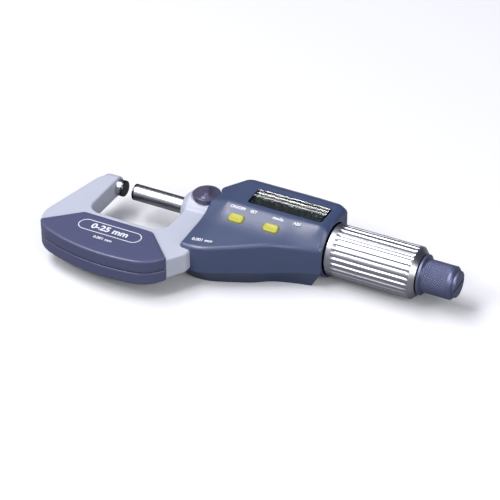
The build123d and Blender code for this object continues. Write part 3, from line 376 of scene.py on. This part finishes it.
def carve(thing, *cutters):
    """Takes closed meshes out of a piece, applies its modifiers and marks edges over 35 degrees
    as sharp."""
    helpers = []
    for number, cutter in enumerate(cutters):
        helper = bpy.data.objects.new("cutter_%d" % number, cutter)
        scene.collection.objects.link(helper)
        cut = thing.modifiers.new("cut_%d" % number, "BOOLEAN")
        cut.operation, cut.solver, cut.object = "DIFFERENCE", "MANIFOLD", helper
        helpers.append(helper)
    depsgraph = bpy.context.evaluated_depsgraph_get()
    depsgraph.update()
    done = bpy.data.meshes.new_from_object(thing.evaluated_get(depsgraph))
    thing.modifiers.clear()
    thing.data = done
    done.shade_smooth()
    done.set_sharp_from_angle(angle=np.radians(35.0))
    for helper in helpers:
        bpy.data.objects.remove(helper)


wall, rim_round, parting_z = 1.6, 1.3, -4.8
cover_left, cover_right = 40.0, 89.4
front_rim = outline_curve([(cover_left, -30.0), (49.2, -30.3), (57.5, -26.8), (66.0, -22.4),
                           (cover_right, -11.4)], (1, -0.25), (1, 0.25), 300)
back_rim = np.array([(cover_right, 12.8), (76.0, 15.5), (48.5, 15.5), (cover_left, 7.4)])
plan = even_loop(np.vstack([front_rim, back_rim]), 520, 1.6)
leaving = outward_normals(plan)
roll = np.linspace(0, np.pi / 2, 8)[:, None]
inset = np.r_[np.zeros((1, 1)), rim_round * (1 - np.cos(roll))]
drop = np.r_[np.zeros((1, 1)), rim_round * (1 - np.sin(roll))]
rings = plan[None] - inset[:, :, None] * leaving[None]
heights = roof(rings[..., 0], rings[..., 1], easing(rings[..., 1])) - drop
heights[0] = parting_z
middle = np.array([66.0, 1.0])


def towards_middle(loop, shares, lower=0.0):
    """Copies of an outline drawn in to the middle by each share, laid on the roof or below it."""
    spread = middle + np.reshape(shares, (-1, 1, 1)) * (loop[None] - middle)
    height = roof(spread[..., 0], spread[..., 1], easing(spread[..., 1]))
    return np.dstack([spread, height - lower])


outside = np.concatenate([np.dstack([rings, heights]),
                          towards_middle(rings[-1], 1 - np.linspace(0, 0.99, 60)[1:] ** 0.8)])
reach = np.linalg.norm(plan - middle, axis=1)[:, None]
inner_plan = middle + (plan - middle) * (1 - 1.3 * wall / reach)
inside = towards_middle(inner_plan, np.linspace(1.0, 0.02, 24), wall)
foot = inside[:1].copy()
foot[..., 2] = parting_z
housing_plastic = finish("satin_slate_plastic", "#404e72", 0.42, grain=0.3, depth=0.006,
                         mottle=0.05, Coat_Weight=1.0, Coat_Roughness=0.36, Coat_IOR=1.65)
shell = surface("front_cover_moulding", np.concatenate([inside[::-1], foot, outside]), wrap=True,
                fans=(0, -1))
cover = piece("front_cover_moulding", shell, "root", housing_plastic, "front_cover")

window_low, window_high = (np.array(corner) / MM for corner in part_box("display_window"))
window_centre = (window_low + window_high) / 2
window_length, window_width = (window_high - window_low)[:2] + 0.1
panel_slope = np.arctan2(12.4 - 8.85, -5.5 + 14.0)
panel_normal = np.array([0.0, -np.sin(panel_slope), np.cos(panel_slope)])
cutters = [
    block(rounded_rectangle(window_length, window_width, 1.0), window_low[2],
          window_high[2] + 0.4, origin=(*window_centre[:2], 0), flare=0.45),
    block(rounded_rectangle(window_length - 1.6, window_width - 1.6, 0.6), 8.0,
          window_high[2] + 0.4, origin=(*window_centre[:2], 0))]
key_y = -11.6
for key_x in (54.5, 68.9):
    key_z = 12.4 - np.tan(panel_slope) * (-5.5 - key_y)
    cutters.append(block(rounded_rectangle(6.3, 4.0, 1.45), -4.0, 4.0, z_axis=panel_normal,
                         origin=(key_x, key_y, key_z)))
lock_low, lock_high = (np.array(corner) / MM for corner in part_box("lock_knob"))
lock_x = (lock_low[0] + lock_high[0]) / 2
lock_radius = (lock_high[0] - lock_low[0]) / 2
cutters.append(block(circle(lock_radius + 0.35), 6.9, 16.0, origin=(lock_x, 0, 0)))
thimble_low, thimble_high = (np.array(corner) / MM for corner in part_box("thimble"))
thimble_radius = thimble_high[2]
cutters.append(block(circle(thimble_radius + 0.35), 84.4, 92.0, x_axis=(0, 1, 0),
                     z_axis=(1, 0, 0)))
carve(cover, *cutters)


def true_normals(mesh, low_z):
    """Gives the corners that lie on the roof, and above low_z, the roof's own normal there, so
    that the long triangles left beside the cuts don't shade the plateau."""
    points = np.zeros(len(mesh.vertices) * 3)
    mesh.vertices.foreach_get("co", points)
    x, y, z = points.reshape(-1, 3).T / MM
    step = 0.05
    slope_x = (roof(x + step, y, easing(y)) - roof(x - step, y, easing(y))) / (2 * step)
    slope_y = (roof(x, y + step, easing(y + step)) - roof(x, y - step, easing(y - step))) / (2 * step)
    own = np.stack([-slope_x, -slope_y, np.ones(len(x))], axis=1)
    own /= np.linalg.norm(own, axis=1)[:, None]
    on_roof = (np.abs(roof(x, y, easing(y)) - z) < 0.02) & (z > low_z)
    corner, sizes = np.zeros(len(mesh.loops), int), np.zeros(len(mesh.polygons), int)
    mesh.loops.foreach_get("vertex_index", corner)
    mesh.polygons.foreach_get("loop_total", sizes)
    flat, shown = np.zeros(len(mesh.polygons) * 3), np.zeros(len(mesh.loops) * 3)
    mesh.polygons.foreach_get("normal", flat)
    mesh.corner_normals.foreach_get("vector", shown)
    flat, shown = np.repeat(flat.reshape(-1, 3), sizes, axis=0), shown.reshape(-1, 3)
    agree = on_roof[corner] & ((flat * own[corner]).sum(axis=1) > 0.9)
    shown[agree] = own[corner][agree]
    mesh.normals_split_custom_set(shown.tolist())


true_normals(cover.data, -4.0)


# Collar: the lip of the same moulding round the thimble's end, a thin half ring whose edge is
# rounded and catches a line of light.
def revolved(name, profile, start=0.0, end=360.0, count=160):
    """A closed profile of places along X and radii turned about the X axis between two angles,
    measured from +Y towards +Z, with its two ends capped where the turn isn't full."""
    full = end - start >= 360.0
    turn = np.radians(np.linspace(start, end, count, endpoint=not full))[:, None]
    along, out = np.array(profile, float).T
    grid = np.dstack([np.broadcast_to(along, (count, len(along))), np.cos(turn) * out,
                      np.sin(turn) * out])
    if full:
        return surface(name, grid.transpose(1, 0, 2)[np.r_[0:len(along), 0]], wrap=True)
    return surface(name, grid[:, np.r_[0:len(along)]], wrap=True, fans=(0, -1))


def rounded_edge(x, r, radius, start, count=6):
    """Points of a quarter circle about x, r that begins at the given angle and turns on."""
    turn = np.radians(np.linspace(start, start + 90.0, count))
    return [(x + radius * np.cos(a), r + radius * np.sin(a)) for a in turn]


lip_inner, lip_outer = thimble_radius + 0.35, 11.2
parting_turn = np.degrees(np.arcsin(parting_z / lip_outer))
lip = [(84.6, lip_inner), (cover_right - 0.3, lip_inner),
       *rounded_edge(cover_right - 0.4, lip_outer - 0.4, 0.4, 0.0), (84.6, lip_outer)]
collar = piece("thimble_collar", revolved("thimble_collar", lip, parting_turn, 180 - parting_turn),
               "root", housing_plastic)
collar.data.set_sharp_from_angle(angle=np.radians(50.0))

# Rear cover, battery cap and its seal: the same plastic, plain from the tool, with four plated
# pan-head screws sunk in their holes and two more that hold the frame's plates.
screw_steel = finish("zinc_plated_steel", "#8d8f93", 0.32, metal=1.0, grain=0.6, depth=0.01)
seal_rubber = finish("black_nitrile_rubber", "#1c1c1e", 0.7, grain=0.3, depth=0.01)
dress(housing_plastic, "front_cover", "rear_cover", "battery_cap")
dress(screw_steel, "cover_screws", "plate_screws", "rotor_key", "lock_stud")
dress(seal_rubber, "battery_cap_ring", "spindle_seal", "zebra_strip")

# Display: a clear acrylic window flush with the plateau, over a liquid crystal panel that is
# switched off and looks green-black. The ceiling lamp's louvres show in it as bright bars.
clear_acrylic = finish("clear_acrylic", "#f2f6f4", 0.01, grain=6.0, depth=0.0, mottle=0.0,
                       rub=0.0, Transmission_Weight=1.0, IOR=1.49)
crystal_panel = finish("green_black_crystal_panel", "#1d2726", 0.6, grain=2.0, depth=0.0,
                       mottle=0.15)
dress(clear_acrylic, "display_window")
dress(crystal_panel, "lcd_panel")
for across_window, power in ((4.5, 0.013), (2.6, 0.012), (0.6, 0.006)):
    mirrored = np.array([window_centre[0], window_centre[1] + across_window, window_high[2]]) * MM
    sight = mirrored - eye
    softbox("louvre_bar", (sight[0], sight[1], -sight[2]), 2.6, (0.17, 0.0014), power, mirrored,
            (1.0, 0.0, 0.0))

# Keys: two yellow moulded caps with rounded crowns, standing 0.8 mm out of the sloping panel.
key_plastic = finish("yellow_moulded_plastic", "#c2bc3c", 0.36, grain=0.5, depth=0.006,
                     mottle=0.04, Subsurface_Weight=0.05)
key_tilt = np.array([(1, 0, 0), np.cross(panel_normal, (1, 0, 0)), panel_normal])
proud, crown, dish = 0.8, 0.6, 0.12
crowning = np.linspace(0, np.pi / 2, 7)
rows = [(0.5, -2.2), (0.5, -1.7), (0.0, -1.7)]
rows += [(-crown * (1 - np.cos(a)), proud - crown * (1 - np.sin(a))) for a in crowning]
rows += [(-crown - step, proud - dish * (1 - (1 - step / 1.2) ** 2)) for step in (0.3, 0.6, 0.9, 1.15)]
for side, key in (("left", "left_button"), ("right", "right_button")):
    low, high = (np.array(corner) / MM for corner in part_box(key))
    middle_x = (low[0] + high[0]) / 2
    seat = np.array([middle_x, key_y, 12.4 - np.tan(panel_slope) * (-5.5 - key_y)])
    caps = [np.c_[rounded_rectangle(6.0 + 2 * grow, 3.7 + 2 * grow, max(1.3 + grow, 0.12)),
                  np.full(48, z)] @ key_tilt + seat for grow, z in rows]
    piece(side + "_key_cap", surface(side + "_key_cap", np.array(caps), wrap=True, fans=(0, -1)),
          side + "_key", key_plastic, key)
dress(key_plastic, "left_button", "right_button")


# Printing: thin pad-printed words in pale grey. Each word lies flat on the surface under it.
def printed(name, words, height, centre, x_axis, z_axis, ink):
    """Words as a thin flat mesh of a given letter height, centred on a point in mm."""
    curve = bpy.data.curves.new(name, "FONT")
    curve.body, curve.size = words, height / 0.72 * MM
    curve.align_x, curve.align_y = "CENTER", "CENTER"
    curve.extrude, curve.offset = 0.012 * MM, height * 0.045 * MM
    letters = bpy.data.objects.new(name, curve)
    mesh = bpy.data.meshes.new_from_object(letters)
    bpy.data.objects.remove(letters)
    x_axis, z_axis = np.array(x_axis, float), np.array(z_axis, float)
    axes = np.array([x_axis, np.cross(z_axis, x_axis), z_axis])
    points = np.zeros(len(mesh.vertices) * 3)
    mesh.vertices.foreach_get("co", points)
    points = points.reshape(-1, 3) @ axes + np.array(centre) * MM
    mesh.vertices.foreach_set("co", points.ravel())
    mesh.name = name
    return piece(name, mesh, "root", ink)


white_ink = finish("pale_grey_print", "#f3f4f8", 0.6, grain=0.2, depth=0.004)
label_y = -7.2
label_z = 12.4 - np.tan(panel_slope) * (-5.5 - label_y) + 0.03
for name, words, x in (("label_on_off", "ON/OFF", 53.0), ("label_set", "SET", 59.6),
                       ("label_unit", "mm/in", 69.8), ("label_abs", "ABS", 77.6)):
    printed(name, words, 1.25, (x, label_y, label_z), (1, 0, 0), panel_normal, white_ink)
step_at = np.array([47.8, -26.2])
reach = 1.0
step_slope_x = (roof(step_at[0] + reach, step_at[1]) - roof(step_at[0] - reach, step_at[1])) / 2
step_slope_y = (roof(step_at[0], step_at[1] + reach) - roof(step_at[0], step_at[1] - reach)) / 2
step_normal = np.array([-step_slope_x, -step_slope_y, 1.0])
step_normal /= np.linalg.norm(step_normal)
step_along = np.array([1.0, 0.06, step_slope_x])
step_along -= step_normal * (step_along @ step_normal)
step_along /= np.linalg.norm(step_along)
printed("label_step", "0.001 mm", 1.5, (*step_at, roof(*step_at, 1.1) + 0.06), step_along,
        step_normal, white_ink)
plate_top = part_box("front_insulating_plate")[1][2] / MM
printed("label_range", "0-25 mm", 3.1, (13.0, -34.3, plate_top + 0.03), (1, 0, 0), (0, 0, 1),
        white_ink)
printed("label_reading", "0.001 mm", 1.4, (13.2, -40.3, plate_top + 0.03), (1, 0, 0), (0, 0, 1),
        white_ink)
band = [np.c_[rounded_rectangle(length, width, width / 2 - 0.01, 24), np.full(96, plate_top + z)]
        for length, width, z in ((26.6, 6.6, 0.0), (26.6, 6.6, 0.03), (25.8, 5.8, 0.03),
                                 (25.8, 5.8, 0.0), (26.6, 6.6, 0.0))]
piece("label_border", surface("label_border", np.array(band) + (13.0, -34.35, 0.0), wrap=True),
      "root", white_ink)

# Thimble: a turned sleeve with 28 milled grip grooves, satin chrome plated. A plain rim stands
# at its left end and a bright conical shoulder at its right end.
chrome = finish("satin_chrome_plate", "#cfd0d5", 0.3, metal=1.0, grain=0.12, depth=0.0012,
                stretch=(1.0, 0.05, 0.05), mottle=0.02)
left, right = thimble_low[0], thimble_high[0]
groove_count, groove_half_width, groove_depth = 28, 0.7, 0.42
stations = np.r_[left + 0.02, np.linspace(left + 0.5, left + 2.2, 4),
                 np.linspace(left + 2.6, right - 1.9, 40), right - 1.85, right - 1.0, right - 0.3,
                 right - 0.05, right, right]
radii = np.interp(stations, [left, left + 0.5, right - 1.9, right], [9.5, 10.0, 10.0, 8.0])
radii[-2:] = 7.7, 2.75
bore = [(right - 0.2, 2.75), (right - 6.0, 3.1), (right - 6.0, 8.7), (left, 8.7), (left, 9.45)]
along = np.r_[stations, [x for x, _ in bore]]
out = np.r_[radii, [r for _, r in bore]]
turn = np.linspace(0, 2 * np.pi, groove_count * 20, endpoint=False)
pitch = 2 * np.pi / groove_count
off_centre = (np.mod(turn, pitch) - pitch / 2) * thimble_radius
groove = np.clip(1 - (off_centre / groove_half_width) ** 2, 0, 1)
cut_in = np.clip((along - left - 2.6) / 0.8, 0, 1) * np.clip((right - 1.9 - along) / 0.05, 0, 1)
cut_in[len(stations):] = 0
grid_out = out[:, None] - groove_depth * groove[None] * cut_in[:, None]
grid = np.dstack([np.broadcast_to(along[:, None], grid_out.shape), np.cos(turn) * grid_out,
                  np.sin(turn) * grid_out])
thimble = piece("fluted_thimble", surface("fluted_thimble", grid[np.r_[0:len(along), 0]],
                                          wrap=True), "spindle", chrome, "thimble")
thimble.data.set_sharp_from_angle(angle=np.radians(28.0))
dress(chrome, "thimble")

# Ratchet stop: a turned aluminium knob, blue-grey anodised, with a plain flange, a fine crossed
# knurl rolled into its body and a chamfered end that holds a slotted cap.
anodised = finish("blue_grey_anodised_aluminium", "#6c7190", 0.36, metal=0.55, grain=0.25,
                  depth=0.006, stretch=(1.0, 0.1, 0.1), mottle=0.06)
knob_low, knob_high = (np.array(corner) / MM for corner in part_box("ratchet_knob"))
flange_start, knob_end, flange_radius = knob_low[0], knob_high[0], knob_high[2]
body_start, knob_radius, knurl_pitch, knurl_depth = flange_start + 1.0, 6.4, 1.05, 0.25
profile = [(flange_start, 3.05), (flange_start, flange_radius - 0.15),
           (flange_start + 0.15, flange_radius), (body_start - 0.15, flange_radius),
           (body_start, flange_radius - 0.15), (body_start, knob_radius + 0.2),
           (body_start + 0.2, knob_radius)]
knurl_start, knurl_end = body_start + 0.6, knob_end - 1.9
profile += [(x, knob_radius) for x in np.linspace(knurl_start, knurl_end, 84)]
profile += [(knob_end - 0.9, knob_radius), (knob_end - 0.25, knob_radius - 0.6),
            (knob_end, knob_radius - 0.95), (knob_end, 4.9), (body_start + 0.8, 4.9),
            (body_start + 0.8, 3.05)]
along, out = np.array(profile).T
turns = 40
turn = np.linspace(0, 2 * np.pi, turns * 9, endpoint=False)
lead = along[:, None] / knurl_pitch * 2 * np.pi * 0.85
ridge = np.minimum(np.abs(np.sin((turns * turn[None] + lead) / 2)),
                   np.abs(np.sin((turns * turn[None] - lead) / 2)))
edge_fade = np.clip(np.minimum(along - knurl_start, knurl_end - along) / 0.3, 0, 1)
edge_fade[(out < knob_radius) | (along < knurl_start)] = 0
grid_out = out[:, None] - knurl_depth * (1 - ridge) * edge_fade[:, None]
grid = np.dstack([np.broadcast_to(along[:, None], grid_out.shape), np.cos(turn) * grid_out,
                  np.sin(turn) * grid_out])
knob = piece("knurled_ratchet_knob", surface("knurled_ratchet_knob",
                                             grid[np.r_[0:len(along), 0]], wrap=True),
             "ratchet", anodised, "ratchet_knob")
knob.data.set_sharp_from_angle(angle=np.radians(40.0))
dress(anodised, "ratchet_knob", "ratchet_end_cap")


# Lock knob: a darkened steel disc with a rounded edge and a raised grip across it that tapers
# to a narrow top. A quarter turn clamps the spindle.
def disc_with_grip(centre, low, radius, base, grip, top_width, turn_by):
    """Height over a disc: a flat base whose rim falls as a quarter circle, plus a grip whose
    sides fall from its top width in scooped flanks, and which rounds off at its ends."""
    angle = np.linspace(0, 2 * np.pi, 144, endpoint=False)
    rim = 0.45
    roll = np.linspace(0, np.pi / 2, 6)
    ring = np.r_[radius, radius - rim + rim * np.cos(roll), np.linspace(radius - rim, 0, 70)[1:]]
    fall = np.r_[base, rim * (1 - np.sin(roll)), np.zeros(69)]
    x, y = ring[:, None] * np.cos(angle), ring[:, None] * np.sin(angle)
    along_grip = x * np.cos(turn_by) + y * np.sin(turn_by)
    over_grip = -x * np.sin(turn_by) + y * np.cos(turn_by)
    slope = np.clip(1 - (np.abs(along_grip) - top_width / 2) / (radius - 1.2), 0, 1) ** 2.8
    ends = np.clip((radius - 0.45 - np.abs(over_grip)) / 2.6, 0, 1)
    raised = grip * slope * ends * ends * (3 - 2 * ends)
    z = low + base - fall[:, None] + raised * (fall[:, None] == 0)
    points = np.dstack([centre[0] + x, centre[1] + y, z])
    foot = points[:1].copy()
    return np.concatenate([foot * (1, 1, 0) + (0, 0, low), points])


lock_steel = finish("darkened_steel", "#615d78", 0.34, metal=0.35, grain=0.25, depth=0.012,
                    mottle=0.12)
grip = disc_with_grip((lock_x, 0.0), lock_low[2], lock_radius, 2.0, 1.6, 1.3, np.radians(26.0))
lock = piece("lock_knob_turned", surface("lock_knob_turned", grip, wrap=True, fans=(0,)), "lock",
             lock_steel, "lock_knob")
lock.data.set_sharp_from_angle(angle=np.radians(60.0))
dress(lock_steel, "lock_knob")

# Measuring line: spindle, anvil and sleeve are hardened steel, cylindrically ground, so fine
# rings run round them. Their hard-metal tips are lapped and darker.
ground_steel = finish("ground_hardened_steel", "#c6c7ca", 0.22, metal=1.0, grain=0.25, depth=0.0006,
                      stretch=(1.0, 0.03, 0.03), mottle=0.03)
hard_metal = finish("lapped_hard_metal", "#55565a", 0.22, metal=1.0, grain=0.3, depth=0.001)
dress(ground_steel, "spindle", "anvil", "inner_sleeve", "adjusting_nut", "ratchet_core")
dress(hard_metal, "spindle_tip", "anvil_tip")

# Inside: brass and spring-steel parts, the coin cell, natural plastic mouldings and the boards.
brass = finish("turned_brass", "#b8974e", 0.3, metal=1.0, grain=0.3, depth=0.002)
spring_steel = finish("spring_steel", "#9a9b9f", 0.25, metal=1.0, grain=0.4, depth=0.002)
nickel = finish("nickel_plated_can", "#c4c2bd", 0.22, metal=1.0, grain=2.0, depth=0.002)
black_plastic = finish("black_moulded_plastic", "#202124", 0.45, grain=0.5, depth=0.004)
solder_mask = finish("green_solder_mask", "#1f5a3a", 0.35, grain=1.5, depth=0.004, mottle=0.1)
dress(brass, "friction_washer", "lock_pad")
dress(spring_steel, "friction_spring", "battery_spring_contact", "battery_side_contact",
      "switch_domes")
dress(nickel, "battery")
dress(black_plastic, "lcd_holder", "encoder_rotor")
dress(solder_mask, "circuit_board", "key_board", "encoder_stator")
